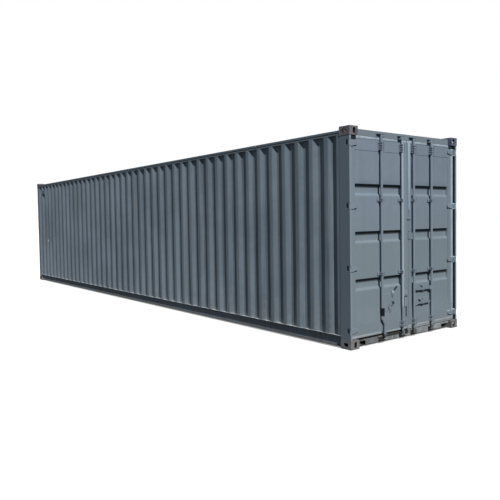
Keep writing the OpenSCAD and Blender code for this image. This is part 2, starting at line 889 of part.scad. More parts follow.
top_corner_castings();
bottom_corner_castings();
door_posts();
front_posts();
door_header();
door_sill();
front_top_rail();
front_bottom_rail();
top_side_rails();
bottom_side_rails();
left_side_wall();
right_side_wall();
front_wall();
roof_panel();
floor_boards();
cross_members();
left_hinge_lugs();
right_hinge_lugs();
header_keepers();
sill_keepers();
air_vents();
left_door_frame();
left_door_panel();
left_door_seal();
left_hinge_blades();
left_bar_guides();
left_lock_plate();
right_door_frame();
right_door_panel();
right_door_seal();
right_hinge_blades();
right_bar_guides();
right_handle_rests();
left_outer_bar();
left_inner_bar();
right_inner_bar();
right_outer_bar();
right_inner_handle();
right_outer_handle();
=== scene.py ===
"""Looks of a forty-foot high-cube storage container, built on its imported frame.

X runs along the box with the cargo doors at +X, the long side towards the camera is
at -Y and Z is up, all in metres.
"""

import json
import math

import bmesh
import bpy
from mathutils import Matrix, Vector, noise


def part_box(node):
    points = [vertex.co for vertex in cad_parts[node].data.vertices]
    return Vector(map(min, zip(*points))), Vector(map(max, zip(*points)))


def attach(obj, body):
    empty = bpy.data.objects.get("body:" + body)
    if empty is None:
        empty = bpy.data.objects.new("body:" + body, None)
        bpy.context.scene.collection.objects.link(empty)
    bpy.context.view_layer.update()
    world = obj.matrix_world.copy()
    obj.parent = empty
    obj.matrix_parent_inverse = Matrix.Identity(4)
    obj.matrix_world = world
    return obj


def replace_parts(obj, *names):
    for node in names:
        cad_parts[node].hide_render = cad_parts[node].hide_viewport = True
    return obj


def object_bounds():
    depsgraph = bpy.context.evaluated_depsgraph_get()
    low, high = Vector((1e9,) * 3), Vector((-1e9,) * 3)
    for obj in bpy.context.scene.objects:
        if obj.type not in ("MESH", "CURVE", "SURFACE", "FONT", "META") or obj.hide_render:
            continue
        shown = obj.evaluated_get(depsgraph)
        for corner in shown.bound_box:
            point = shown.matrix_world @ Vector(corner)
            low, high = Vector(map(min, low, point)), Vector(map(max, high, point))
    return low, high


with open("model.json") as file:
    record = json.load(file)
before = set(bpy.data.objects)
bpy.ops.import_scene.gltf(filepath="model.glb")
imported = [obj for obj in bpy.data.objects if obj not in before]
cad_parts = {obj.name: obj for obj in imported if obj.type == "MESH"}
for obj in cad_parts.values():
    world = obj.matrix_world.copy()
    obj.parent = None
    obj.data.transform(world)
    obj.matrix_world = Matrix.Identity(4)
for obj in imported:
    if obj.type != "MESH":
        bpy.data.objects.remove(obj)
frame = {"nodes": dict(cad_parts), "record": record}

cad_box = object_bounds()
BODY_OF = {n: b for b, nodes in frame["record"]["behaviour"]["bodies"].items() for n in nodes}
SLOT_OF = {row["node"]: row["material_slot"] for row in frame["record"]["subparts"]}
END_X = cad_box[1].x
SIDE_Y = cad_box[1].y
SIDES = {"left": -1, "right": 1}

# Outer faces along X: of the leaves' frames, of their sheets, and of the posts' flanges
LEAF_FACE = END_X - 0.050
SHEET_FACE = LEAF_FACE - 0.0085
FLANGE_FACE = END_X - 0.0125

# Door pressing, in metres
RECESS_LOW = 0.750
RECESS_PITCH = 0.629
RECESS_H = 0.151
RECESS_DEPTH = 0.0365
RECESS_TOP_SLOPE = 0.002
RECESS_LOW_SLOPE = 0.027
RECESS_END_SLOPE = 0.004
RECESS_MARGIN = 0.006

# Locking gear: bar centres along Y, guides as (middle, height) along Z, and hinge heights
BAR_X = END_X - 0.022
BARS = {"left": (-0.557, -0.102), "right": (0.160, 0.588)}
GUIDES = ((0.212, 0.090), (0.948, 0.040), (1.948, 0.040), (2.670, 0.112))
HINGES = (0.235, 1.050, 1.865, 2.680)

# Outer lips of the door gaskets: their back, and their places at head and hinge side
LIP_BACK = LEAF_FACE - 0.010
LIP_HEAD = (2.749, 2.7845)
LIP_HEAD_AT_HINGE = 2.774
LIP_HINGE_SIDE = (1.135, 1.1835)
LIP_CORNER_Y = 1.050

# One corner casting along X, Y and Z
CASTING = Vector((0.178, 0.162, 0.118))

# Dent in the sill's top edge, between the left door's bars
DENT_Y = (-0.53, -0.07)
DENT_REACH_X = 0.078

# Colours as linear light
DOOR_BLUE = (0.236, 0.300, 0.366)
WALL_BLUE = (0.190, 0.246, 0.304)
FRAME_BLUE = (0.205, 0.250, 0.292)
CHASSIS_BLUE = (0.252, 0.292, 0.344)
WORN_GREY = (0.200, 0.225, 0.235)
RUST = (0.105, 0.048, 0.026)
DUST = (0.330, 0.345, 0.350)
GRIME = (0.050, 0.052, 0.055)
SEAL_GREY = (0.385, 0.470, 0.550)
PALE_BLUE = (0.400, 0.475, 0.545)
CASTING_DARK = (0.164, 0.158, 0.180)
BARE_STEEL = (0.330, 0.330, 0.330)
PLYWOOD = (0.330, 0.215, 0.120)


# ---------------------------------------------------------------- materials


def scaled(colour, by):
    return tuple(c * by for c in colour)


class Finish:
    """A material in the making, with short calls for the nodes that it is made of."""

    def __init__(self, name):
        self.material = bpy.data.materials.new(name)
        self.material.use_nodes = True
        self.tree = self.material.node_tree
        self.shader = self.tree.nodes["Principled BSDF"]
        self.place = self.add("ShaderNodeTexCoord").outputs["Object"]
        split = self.add("ShaderNodeSeparateXYZ")
        self.link(self.place, split.inputs[0])
        self.x, self.y, self.z = split.outputs

    def add(self, kind, **settings):
        node = self.tree.nodes.new(kind)
        for key, value in settings.items():
            setattr(node, key, value)
        return node

    def link(self, value, socket):
        if isinstance(value, (int, float)):
            socket.default_value = value
        elif isinstance(value, tuple):
            socket.default_value = (*value, 1.0)
        else:
            self.tree.links.new(value, socket)

    def noise(self, scale, detail=3.0, stretch=(1.0, 1.0, 1.0), roughness=0.55, shift=0.0):
        place = self.add("ShaderNodeMapping")
        self.link(self.place, place.inputs["Vector"])
        place.inputs["Scale"].default_value = stretch
        place.inputs["Location"].default_value = (shift, shift, shift)
        cloud = self.add("ShaderNodeTexNoise")
        self.link(place.outputs[0], cloud.inputs["Vector"])
        cloud.inputs["Scale"].default_value = scale
        cloud.inputs["Detail"].default_value = detail
        cloud.inputs["Roughness"].default_value = roughness
        return cloud.outputs["Fac"]

    def band(self, value, low, high):
        """0 where value is at low, 1 where it is at high, smooth between."""
        step = self.add("ShaderNodeMapRange", interpolation_type="SMOOTHSTEP")
        self.link(value, step.inputs["Value"])
        step.inputs["From Min"].default_value = low
        step.inputs["From Max"].default_value = high
        return step.outputs["Result"]

    def calc(self, operation, a, b=0.0):
        node = self.add("ShaderNodeMath", operation=operation, use_clamp=operation == "ADD")
        self.link(a, node.inputs[0])
        self.link(b, node.inputs[1])
        return node.outputs[0]

    def mix(self, factor, a, b):
        node = self.add("ShaderNodeMix", data_type="RGBA")
        self.link(factor, node.inputs["Factor"])
        self.link(a, node.inputs["A"])
        self.link(b, node.inputs["B"])
        return next(o for o in node.outputs if o.type == "RGBA")

    def attribute(self, name):
        return self.add("ShaderNodeAttribute", attribute_name=name).outputs["Fac"]

    def line_distance(self, start, end):
        """Distance of a point on a surface across X from a line between two (y, z) points."""
        (y0, z0), (y1, z1) = start, end
        length = math.hypot(y1 - y0, z1 - z0)
        ay, az = (y1 - y0) / length, (z1 - z0) / length
        dy = self.calc("SUBTRACT", self.y, (y0 + y1) / 2)
        dz = self.calc("SUBTRACT", self.z, (z0 + z1) / 2)
        along = self.calc("MULTIPLY_ADD", dy, ay)
        self.link(self.calc("MULTIPLY", dz, az), along.node.inputs[2])
        off = self.calc("MULTIPLY_ADD", dy, -az)
        self.link(self.calc("MULTIPLY", dz, ay), off.node.inputs[2])
        past = self.calc("MAXIMUM", self.calc("SUBTRACT", self.calc("ABSOLUTE", along), length / 2), 0.0)
        return self.calc("ADD", self.calc("ABSOLUTE", off), past)

    def within(self, value, middle, half, soft):
        """1 where value is within half of middle, 0 further than soft beyond that."""
        off = self.calc("ABSOLUTE", self.calc("SUBTRACT", value, middle))
        return self.band(off, half + soft, half)

    def finish(self, colour, roughness, height, bump, shine=0.5):
        self.link(colour, self.shader.inputs["Base Color"])
        self.link(roughness, self.shader.inputs["Roughness"])
        self.link(shine, self.shader.inputs["Specular IOR Level"])
        relief = self.add("ShaderNodeBump")
        relief.inputs["Distance"].default_value = bump
        self.link(height, relief.inputs["Height"])
        self.link(relief.outputs[0], self.shader.inputs["Normal"])
        return self.material


def aged_paint(name, colour, fade=0.10, streaks=0.25, rust=0.3, dust=0.0, roughness=0.5, extra=None,
               last=None):
    """Sprayed paint that has faded, with dirt runs, rust spots and dust towards the ground.

    What extra adds lies under the rust and dust, and what last adds lies on top of them.
    """
    f = Finish(name)
    patches = f.band(f.noise(0.8, 3.0), 0.32, 0.68)
    mottle = f.noise(14.0, 5.0, roughness=0.65)
    look = f.mix(patches, scaled(colour, 1.0 - fade), scaled(colour, 1.0 + fade))
    look = f.mix(f.calc("MULTIPLY", f.band(mottle, 0.45, 0.75), 0.18), look, scaled(DUST, 1.1))
    runs = f.band(f.noise(1.0, 4.0, (13.0, 13.0, 0.5)), 0.48, 0.76)
    look = f.mix(f.calc("MULTIPLY", runs, streaks), look, scaled(GRIME, 1.4))
    washed = f.band(f.noise(1.0, 4.0, (15.0, 15.0, 0.35), shift=11.0), 0.54, 0.74)
    look = f.mix(f.calc("MULTIPLY", washed, streaks * 0.6), look, scaled(DUST, 1.05))
    if extra:
        look = extra(f, look)
    clusters = f.band(f.noise(2.3, 2.0, shift=7.0), 0.50, 0.66)
    specks = f.band(f.noise(55.0, 6.0, roughness=0.6, shift=3.0), 0.60, 0.68)
    spots = f.calc("MULTIPLY", f.calc("MULTIPLY", clusters, specks), rust)
    edges = f.calc("MULTIPLY", f.attribute("worn"), f.band(f.noise(38.0, 4.0), 0.42, 0.60))
    worn = f.calc("ADD", spots, f.calc("MULTIPLY", edges, min(1.0, rust * 2.0)))
    look = f.mix(worn, look, RUST)
    if dust:
        low = f.calc("MULTIPLY", f.band(f.z, 0.9, 0.05), f.band(mottle, 0.25, 0.70))
        look = f.mix(f.calc("MULTIPLY", low, dust), look, DUST)
    if last:
        look = last(f, look)
    gloss = f.calc("ADD", f.calc("MULTIPLY", mottle, 0.18), roughness - 0.09)
    gloss = f.calc("ADD", gloss, f.calc("MULTIPLY", worn, 0.3))
    skin = f.calc("ADD", f.calc("MULTIPLY", f.noise(240.0, 2.0), 0.25), f.calc("MULTIPLY", mottle, 0.5))
    return f.finish(look, gloss, skin, 0.0006, shine=0.15 if last else 0.5)


def door_marks_and_painted_light(f, look):
    """Dark and pale marks on the left door, a darker right door, and painted shadow and highlights."""
    look = f.mix(f.calc("MULTIPLY", f.band(f.z, 2.0, 1.2), 0.60), look, (0.232, 0.285, 0.320))
    darker = f.calc("ADD", f.calc("MULTIPLY", f.band(f.z, 0.9, 1.6), 0.08), 0.06)
    look = f.mix(f.calc("MULTIPLY", f.band(f.y, 0.030, 0.036), darker), look, (0.070, 0.090, 0.110))
    recess_x = SHEET_FACE - 0.0145
    in_recess = f.band(f.x, recess_x + 0.003, recess_x - 0.003)
    # Painted shadow: a dark band on each recess's floor under its top edge lengthens that edge's shadow.
    for level in range(3):
        top = RECESS_LOW + level * RECESS_PITCH + RECESS_H
        recess_painted_shadow = f.calc("MULTIPLY", f.within(f.z, top - 0.020, 0.026, 0.006), in_recess)
        look = f.mix(f.calc("MULTIPLY", recess_painted_shadow, 0.80), look, (0.035, 0.045, 0.055))
    ragged = f.calc("MULTIPLY", f.calc("SUBTRACT", f.noise(42.0, 4.0, shift=1.7), 0.5), 0.075)
    on_face = f.band(f.x, recess_x - 0.003, recess_x + 0.003)
    dark, pale = (0.026, 0.036, 0.046), (0.600, 0.640, 0.680)
    marks = (
        # Painted highlight: a pale line along a crease in the left door.
        ((-0.460, 0.656), (-0.120, 0.662), 0.005, scaled(DOOR_BLUE, 1.25), 0.6),
        ((-0.275, 0.640), (-0.290, 0.600), 0.010, dark, 0.8),
        ((-0.248, 0.700), (-0.190, 0.732), 0.018, dark, 0.95),
        ((-0.285, 0.684), (-0.262, 0.668), 0.014, pale, 0.85),
        ((-0.290, 0.530), (-0.258, 0.510), 0.020, dark, 0.95),
        ((-0.265, 0.505), (-0.310, 0.475), 0.010, dark, 0.8),
        ((-0.400, 0.505), (-0.340, 0.500), 0.007, dark, 0.5),
        ((-0.375, 0.475), (-0.350, 0.395), 0.012, dark, 0.6),
        ((-0.330, 0.455), (-0.325, 0.400), 0.006, dark, 0.5),
        ((-0.215, 0.745), (-0.205, 0.700), 0.007, dark, 0.8),
        ((-0.300, 0.690), (-0.315, 0.610), 0.006, dark, 0.6),
        ((-0.385, 0.455), (-0.405, 0.420), 0.007, dark, 0.6),
        # Painted highlight: a pale line along the top of the right door's lower hinge blade.
        ((1.050, 0.262), (1.090, 0.268), 0.010, pale, 0.7),
    )
    for start, end, reach, colour, strength in marks:
        far = f.calc("SUBTRACT", f.line_distance(start, end), ragged)
        spot = f.calc("MULTIPLY", f.band(far, reach * 1.35, reach * 0.55), on_face)
        look = f.mix(f.calc("MULTIPLY", spot, strength), look, colour)
    return look


def pale_inner_bar(f, look):
    """The left door's inner bar is repainted paler, and the bars are darker at their feet."""
    inner_bar = BARS["left"][1]
    bar = f.calc("MULTIPLY", f.within(f.y, inner_bar, 0.021, 0.001), f.band(f.z, 0.42, 0.50))
    bar = f.calc("MULTIPLY", bar, f.band(f.z, 2.775, 2.765))
    look = f.mix(bar, look, PALE_BLUE)
    return f.mix(f.calc("MULTIPLY", f.band(f.z, 0.135, 0.110), 0.75), look, (0.060, 0.065, 0.070))


def hub_painted_shade(f, look):
    """Painted shade on the hub of the left door's outer bar: a dark patch, darkest on its left, for the
    shade inside its bent bracket.
    """
    hub = f.calc("MULTIPLY", f.within(f.y, -0.553, 0.032, 0.002), f.within(f.z, 0.425, 0.050, 0.010))
    uneven = f.calc("ADD", f.calc("MULTIPLY", f.band(f.noise(45.0, 3.0), 0.40, 0.58), 0.45), 0.45)
    hub = f.calc("MULTIPLY", hub, f.calc("ADD", f.band(f.y, -0.530, -0.540), uneven))
    return f.mix(hub, look, (0.012, 0.017, 0.024))


def lock_plate_painted_shadow(f, look):
    """Painted shadow along the rim of the lock plate and under it, and a dark line down its hasp."""
    lines = (((-0.044, 0.450), (-0.044, 0.590), 0.005), ((-0.034, 0.587), (0.020, 0.587), 0.009),
             ((-0.036, 0.438), (0.020, 0.438), 0.005), ((0.002, 0.305), (0.002, 0.435), 0.008))
    for start, end, reach in lines:
        near = f.band(f.line_distance(start, end), reach * 1.4, reach * 0.8)
        look = f.mix(f.calc("MULTIPLY", near, 0.95), look, (0.016, 0.022, 0.030))
    return look


def posts_painted_shading(f, look):
    """Frame paint that is paler on the header, with painted light on posts' outer flanges and painted shade
    on their sides.
    """
    # Painted light: the posts' outer flanges, facing the key light, are paler.
    flange = f.band(f.x, FLANGE_FACE - 0.001, FLANGE_FACE + 0.001)
    look = f.mix(flange, look, (0.275, 0.335, 0.385))
    out = f.calc("ABSOLUTE", f.y)
    web_y, header_end = SIDE_Y - 0.005, SIDE_Y - 0.056
    behind_flange = f.band(f.x, FLANGE_FACE + 0.001, FLANGE_FACE - 0.001)
    # Painted shade: the posts' sides are darker.
    web = f.calc("MULTIPLY", f.band(out, web_y - 0.0005, web_y + 0.0005), behind_flange)
    look = f.mix(web, look, (0.155, 0.205, 0.255))
    header = f.calc("MULTIPLY", f.band(out, header_end + 0.003, header_end - 0.003), f.band(f.x, 6.00, 6.02))
    return f.mix(header, look, scaled(FRAME_BLUE, 1.075))


def side_scrape(f, look):
    """One small scrape to bare metal on the long side, near the front end."""
    there = f.calc("MULTIPLY", f.within(f.x, -5.334, 0.012, 0.030), f.within(f.z, 1.192, 0.018, 0.030))
    there = f.calc("MULTIPLY", there, f.band(f.y, -1.0, -1.1))
    return f.mix(there, look, (0.50, 0.54, 0.58))


def road_dirt(f, look):
    """Pale dust on the underframe rails' upper flanges and black dirt on their lower ones."""
    clumps = f.band(f.noise(11.0, 4.0), 0.36, 0.58)
    look = f.mix(f.calc("MULTIPLY", f.band(f.z, 0.160, 0.1645), clumps), look, scaled(DUST, 2.1))
    return f.mix(f.calc("MULTIPLY", f.band(f.z, 0.034, 0.026), 0.92), look, (0.050, 0.054, 0.060))


def sill_dirt_and_painted_shade(f, look):
    """Blotched pale and dark dirt on the sill, painted shade on it, and dark rust and painted shade round
    the keepers of the bars.
    """
    pale = f.band(f.noise(9.0, 5.0, (1.0, 1.0, 1.6), 0.7, 2.0), 0.50, 0.62)
    far = f.band(f.y, -0.10, 0.25)
    look = f.mix(f.calc("MULTIPLY", far, 0.35), look, (0.380, 0.400, 0.410))
    right = f.calc("ADD", f.calc("MULTIPLY", far, 0.35), 0.60)
    look = f.mix(f.calc("MULTIPLY", pale, right), look, (0.430, 0.450, 0.455))
    dark = f.band(f.noise(13.0, 5.0, (1.0, 0.6, 2.2), 0.7, 6.0), 0.52, 0.64)
    calm = f.calc("SUBTRACT", 0.90, f.calc("MULTIPLY", far, 0.45))
    look = f.mix(f.calc("MULTIPLY", dark, calm), look, scaled(GRIME, 1.1))
    left = f.band(f.y, 0.02, -0.02)
    # Painted shade: the sill's top under the left leaf and the top of its dent are dark, for the shade in
    # the gap and dent under the leaf.
    top = f.calc("MULTIPLY", f.band(f.z, 0.096, 0.099), f.band(f.x, 5.980, 5.985))
    dent = f.calc("MULTIPLY", f.within(f.y, -0.300, 0.215, 0.015), f.band(f.z, 0.060, 0.070))
    shade = f.calc("MULTIPLY", f.calc("ADD", top, dent), left)
    stain = f.calc("MULTIPLY", f.within(f.y, 0.015, 0.030, 0.012), f.within(f.z, 0.078, 0.026, 0.010))
    shade = f.calc("ADD", shade, stain)
    # Dark rust and painted shade round the keepers of the bars.
    in_front = f.band(f.x, LEAF_FACE + 0.0015, LEAF_FACE + 0.003)
    keepers = f.calc("MULTIPLY", in_front, f.band(f.z, 0.300, 0.200))
    # Painted shade: the sill is dark along its foot, and so are the plates under its cut-outs.
    there = f.calc("ADD", f.calc("ADD", shade, keepers), f.calc("MULTIPLY", f.band(f.z, 0.030, 0.016), 0.8))
    return f.mix(f.calc("MULTIPLY", there, 0.93), look, (0.028, 0.028, 0.028))


def cast_steel(name):
    """Cast fitting with thin dark paint, some rust, scraped edges and an inside painted near black as shade.
    """
    f = Finish(name)
    patches = f.band(f.noise(9.0, 4.0), 0.38, 0.62)
    look = f.mix(patches, scaled(CASTING_DARK, 0.80), scaled(CASTING_DARK, 1.30))
    rust = f.band(f.noise(16.0, 6.0, roughness=0.65, shift=2.0), 0.52, 0.62)
    look = f.mix(f.calc("MULTIPLY", rust, 0.40), look, scaled(RUST, 1.2))
    grey = f.mix(patches, (0.150, 0.152, 0.155), (0.270, 0.272, 0.275))
    look = f.mix(f.calc("MULTIPLY", f.band(f.z, 0.5, 0.1), 0.85), look, grey)
    blue = f.mix(patches, (0.085, 0.105, 0.165), (0.145, 0.175, 0.245))
    look = f.mix(f.calc("MULTIPLY", f.band(f.y, 0.9, 1.0), f.band(f.z, 0.2, 1.0)), look, blue)
    edges = f.calc("MULTIPLY", f.attribute("worn"), f.band(f.noise(30.0, 3.0), 0.40, 0.62))
    look = f.mix(f.calc("MULTIPLY", edges, 0.55), look, BARE_STEEL)
    # Painted shade: the inside is near black, fully where it lies deep and partly near its mouth.
    look = f.mix(f.attribute("inside"), look, (0.012, 0.012, 0.013))
    grain = f.calc("ADD", f.calc("MULTIPLY", f.noise(95.0, 4.0), 0.6), f.calc("MULTIPLY", rust, 0.3))
    return f.finish(look, 0.68, grain, 0.0015)


def seal_rubber(name, colour):
    """Weathered door rubber with paint overspray and dirt."""
    f = Finish(name)
    patches = f.band(f.noise(3.0, 4.0, (1.0, 1.0, 0.5)), 0.35, 0.65)
    look = f.mix(patches, scaled(colour, 0.88), scaled(colour, 1.10))
    dirt = f.band(f.noise(17.0, 5.0, (1.0, 1.0, 0.3), shift=5.0), 0.52, 0.70)
    look = f.mix(f.calc("MULTIPLY", dirt, 0.35), look, scaled(GRIME, 1.5))
    look = f.mix(f.calc("MULTIPLY", f.band(f.z, 0.20, 0.16), 0.60), look, (0.330, 0.345, 0.350))
    return f.finish(look, 0.75, f.noise(130.0, 3.0), 0.0004)


def floor_ply(name):
    """Oiled hardwood plywood, scratched along the box and darker in its worn lane."""
    f = Finish(name)
    grain = f.noise(5.0, 6.0, (1.5, 22.0, 1.0), roughness=0.6)
    look = f.mix(f.band(grain, 0.3, 0.7), scaled(PLYWOOD, 0.70), scaled(PLYWOOD, 1.20))
    wear = f.band(f.noise(1.3, 5.0, (0.5, 1.6, 1.0), shift=9.0), 0.45, 0.68)
    look = f.mix(f.calc("MULTIPLY", wear, 0.5), look, scaled(PLYWOOD, 0.38))
    scratch = f.band(f.noise(3.0, 5.0, (0.6, 60.0, 1.0), shift=4.0), 0.63, 0.68)
    look = f.mix(f.calc("MULTIPLY", scratch, 0.4), look, scaled(PLYWOOD, 1.7))
    return f.finish(look, 0.62, grain, 0.0008)


PAINTS = {
    "wall_paint": aged_paint("wall_paint", WALL_BLUE, 0.13, 0.42, 0.25, 0.35, extra=side_scrape),
    "door_paint": aged_paint("door_paint", DOOR_BLUE, 0.05, 0.10, 0.15, 0.10, extra=door_marks_and_painted_light),
    "frame_paint": aged_paint("frame_paint", FRAME_BLUE, 0.06, 0.16, 0.35, 0.20, extra=posts_painted_shading),
    "gear_paint": aged_paint("gear_paint", DOOR_BLUE, 0.08, 0.12, 0.35, 0.20, 0.45,
                             extra=pale_inner_bar, last=hub_painted_shade),
    "hinge_steel": aged_paint("hinge_steel", DOOR_BLUE, 0.08, 0.15, 0.40, 0.15),
    "handle_paint": aged_paint("handle_paint", scaled(DOOR_BLUE, 0.90), 0.10, 0.20, 0.60, 0.10, 0.42),
    "worn_paint": aged_paint("worn_paint", WORN_GREY, 0.15, 0.30, 0.30, 0.20, 0.62, last=sill_dirt_and_painted_shade),
    "underframe_paint": aged_paint("underframe_paint", CHASSIS_BLUE, 0.15, 0.35, 0.50, 0.20, 0.60,
                                   extra=road_dirt),
    "casting_steel": cast_steel("casting_steel"),
    "seal_rubber": seal_rubber("seal_rubber", SEAL_GREY),
    "plywood": floor_ply("plywood"),
}
LOCK_PAINT = aged_paint("lock_plate_paint", scaled(DOOR_BLUE, 1.15), 0.06, 0.10, 0.20, last=lock_plate_painted_shadow)


# ---------------------------------------------------------------- mesh helpers


def piece(bm, name, body, slot, material=None, smooth_below=0.0):
    """Makes a finished piece of a bmesh that is already in place."""
    mesh = bpy.data.meshes.new(name)
    bm.to_mesh(mesh)
    bm.free()
    if smooth_below:
        mesh.shade_smooth()
        mesh.set_sharp_from_angle(angle=math.radians(smooth_below))
    mesh.materials.append(material or PAINTS[slot])
    obj = bpy.data.objects.new(name, mesh)
    bpy.context.scene.collection.objects.link(obj)
    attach(obj, body)
    return obj


def merged(node):
    """A bmesh of a CAD node with its loose triangles joined into flat faces."""
    bm = bmesh.new()
    bm.from_mesh(frame["nodes"][node].data)
    bmesh.ops.remove_doubles(bm, verts=bm.verts, dist=1e-5)
    bmesh.ops.dissolve_limit(bm, angle_limit=math.radians(1.0), verts=bm.verts, edges=bm.edges)
    return bm


def round_edges(bm, edges, width, segments):
    """Rounds the edges and returns the new faces."""
    return bmesh.ops.bevel(
        bm, geom=edges, offset=width, offset_type="OFFSET", segments=segments, profile=0.5,
        affect="EDGES", clamp_overlap=True, material=-1)["faces"]


def bevelled(bm, edges, width, segments):
    """Rounds the edges and marks the new faces as worn."""
    made = round_edges(bm, edges, width, segments)
    worn = bm.faces.layers.float.get("worn") or bm.faces.layers.float.new("worn")
    bm.faces.ensure_lookup_table()
    for face in made:
        if face.is_valid:
            face[worn] = 1.0


def sharp_edges(bm, angle=50.0):
    limit = math.radians(angle)
    return [e for e in bm.edges if e.is_manifold and e.calc_face_angle() > limit]


def shaded_evenly(obj):
    """Flat faces beside rounded edges keep a flat shade."""
    even = obj.modifiers.new("even_shading", "WEIGHTED_NORMAL")
    even.keep_sharp = True
    return obj


def rounded(node, width, segments=2, shape=None):
    """The CAD node's own shape with its sharp edges rounded, in the node's place."""
    bm = merged(node)
    if shape:
        shape(bm)
    bevelled(bm, sharp_edges(bm), width, segments)
    paint = PAINTS["frame_paint"] if node in ("door_posts", "door_header") else None
    obj = piece(bm, node + "_finished", BODY_OF[node], SLOT_OF[node], paint, 32.0)
    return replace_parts(shaded_evenly(obj), node)


def cut_at(bm, axis, places):
    """Cuts every face of the mesh at the given places along one axis."""
    normal = Vector([float(k == axis) for k in range(3)])
    for at in places:
        geom = bm.verts[:] + bm.edges[:] + bm.faces[:]
        bmesh.ops.bisect_plane(bm, geom=geom, dist=1e-6, plane_co=normal * at, plane_no=normal)


def spread(low, high, count):
    """Places that divide a length into count equal parts, without its ends."""
    return [low + (high - low) * k / count for k in range(1, count)]


def upright(low, high, x):
    """A bmesh with one face at x, across X, between two (y, z) corners."""
    bm = bmesh.new()
    bmesh.ops.create_grid(bm, x_segments=1, y_segments=1, size=0.5)
    turn = Matrix(((0, 0, 1), (1, 0, 0), (0, 1, 0))).to_4x4()
    size = Matrix.Diagonal((1.0, high[0] - low[0], high[1] - low[1], 1.0))
    middle = Matrix.Translation((x, (low[0] + high[0]) / 2, (low[1] + high[1]) / 2))
    bmesh.ops.transform(bm, matrix=middle @ size @ turn, verts=bm.verts)
    return bm


def block_in(bm, low, high, width=0.0, segments=1):
    """Adds a box between two corners, with its edges rounded by width."""
    size = Vector(high) - Vector(low)
    matrix = Matrix.Translation((Vector(low) + Vector(high)) / 2) @ Matrix.Diagonal((*size, 1.0))
    made = bmesh.ops.create_cube(bm, size=1.0, matrix=matrix)
    if width:
        edges = list({e for v in made["verts"] for e in v.link_edges})
        bevelled(bm, edges, width, segments)


def disc_in(bm, centre, radius, height, axis="X", sides=12, top=0.8):
    """Adds a low round head, such as a bolt or rivet, standing out along an axis."""
    turns = {"X": Matrix.Rotation(math.pi / 2, 4, "Y"), "-Y": Matrix.Rotation(math.pi / 2, 4, "X"),
             "Y": Matrix.Rotation(-math.pi / 2, 4, "X"), "Z": Matrix.Identity(4)}
    matrix = Matrix.Translation(centre) @ turns[axis] @ Matrix.Translation((0, 0, height / 2))
    bmesh.ops.create_cone(bm, cap_ends=True, segments=sides, radius1=radius,
                          radius2=radius * top, depth=height, matrix=matrix)


# ---------------------------------------------------------------- walls and roof


def corrugated_wall(node, bend=0.009, rows=18, warp=0.0030):
    """A corrugated wall with round bends and a slight waviness in its flats."""
    bm = merged(node)
    bends = [e for e in bm.edges if e.is_manifold
             and abs(e.verts[0].co.z - e.verts[1].co.z) > 1.0
             and math.radians(10.0) < e.calc_face_angle() < math.radians(60.0)]
    round_edges(bm, bends, bend, 3)
    low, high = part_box(node)
    cut_at(bm, 2, spread(low.z, high.z, rows))
    long_axis = 0 if high.x - low.x > high.y - low.y else 1
    deep_axis = 1 - long_axis
    for v in bm.verts:
        edge = min(v.co.z - low.z, high.z - v.co.z, v.co[long_axis] - low[long_axis],
                   high[long_axis] - v.co[long_axis])
        fade = min(1.0, edge / 0.25)
        place = Vector((v.co[long_axis] * 2.6, low[deep_axis], v.co.z * 1.5))
        inwards = -1.0 if low[deep_axis] > 0 else 1.0
        v.co[deep_axis] += inwards * warp * fade * (0.5 + noise.noise(place))
    obj = piece(bm, node + "_sheet", BODY_OF[node], SLOT_OF[node], smooth_below=35.0)
    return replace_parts(obj, node)


def roof_sheet(pitch=0.209, rib_rise=0.014, rim=0.075, slope=0.030):
    """The roof: a flat sheet with raised ribs across it that end short of the rails."""
    low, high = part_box("roof_panel")
    floor_z = low.z + 0.001
    count = int((high.x - low.x - 0.10) / pitch)
    start = (low.x + high.x - count * pitch) / 2
    bm = bmesh.new()
    bmesh.ops.create_grid(bm, x_segments=1, y_segments=1, size=0.5)
    size = Matrix.Diagonal((high.x - low.x, high.y - low.y, 1.0, 1.0))
    bmesh.ops.transform(bm, matrix=Matrix.Translation(((low.x + high.x) / 2, 0, floor_z)) @ size,
                        verts=bm.verts)
    cut_at(bm, 1, [low.y + rim, high.y - rim])
    flats = [start + k * pitch + s * pitch / 2 for k in range(count) for s in (0.22, 1.42)]
    cut_at(bm, 0, flats)
    ribs = []
    for f in bm.faces:
        middle = f.calc_center_median()
        across = start < middle.x < start + count * pitch and abs(middle.y) < high.y - rim
        if across and 0.11 < ((middle.x - start) / pitch) % 1.0 < 0.71:
            ribs.append(f)
    bmesh.ops.inset_individual(bm, faces=ribs, thickness=slope, depth=rib_rise)
    round_edges(bm, sharp_edges(bm, 12.0), 0.006, 2)
    cast_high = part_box("top_corner_castings")[1]
    inner_x, inner_y = cast_high.x - CASTING.x, cast_high.y - CASTING.y
    cut_at(bm, 0, [inner_x, -inner_x])
    cut_at(bm, 1, [inner_y, -inner_y])
    corners = [f for f in bm.faces if abs(f.calc_center_median().x) > inner_x
               and abs(f.calc_center_median().y) > inner_y]
    bmesh.ops.delete(bm, geom=corners, context="FACES")
    bmesh.ops.solidify(bm, geom=bm.faces[:], thickness=0.0015)
    bmesh.ops.recalc_face_normals(bm, faces=bm.faces)
    obj = piece(bm, "roof_sheet", "container", "wall_paint", smooth_below=35.0)
    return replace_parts(obj, "roof_panel")


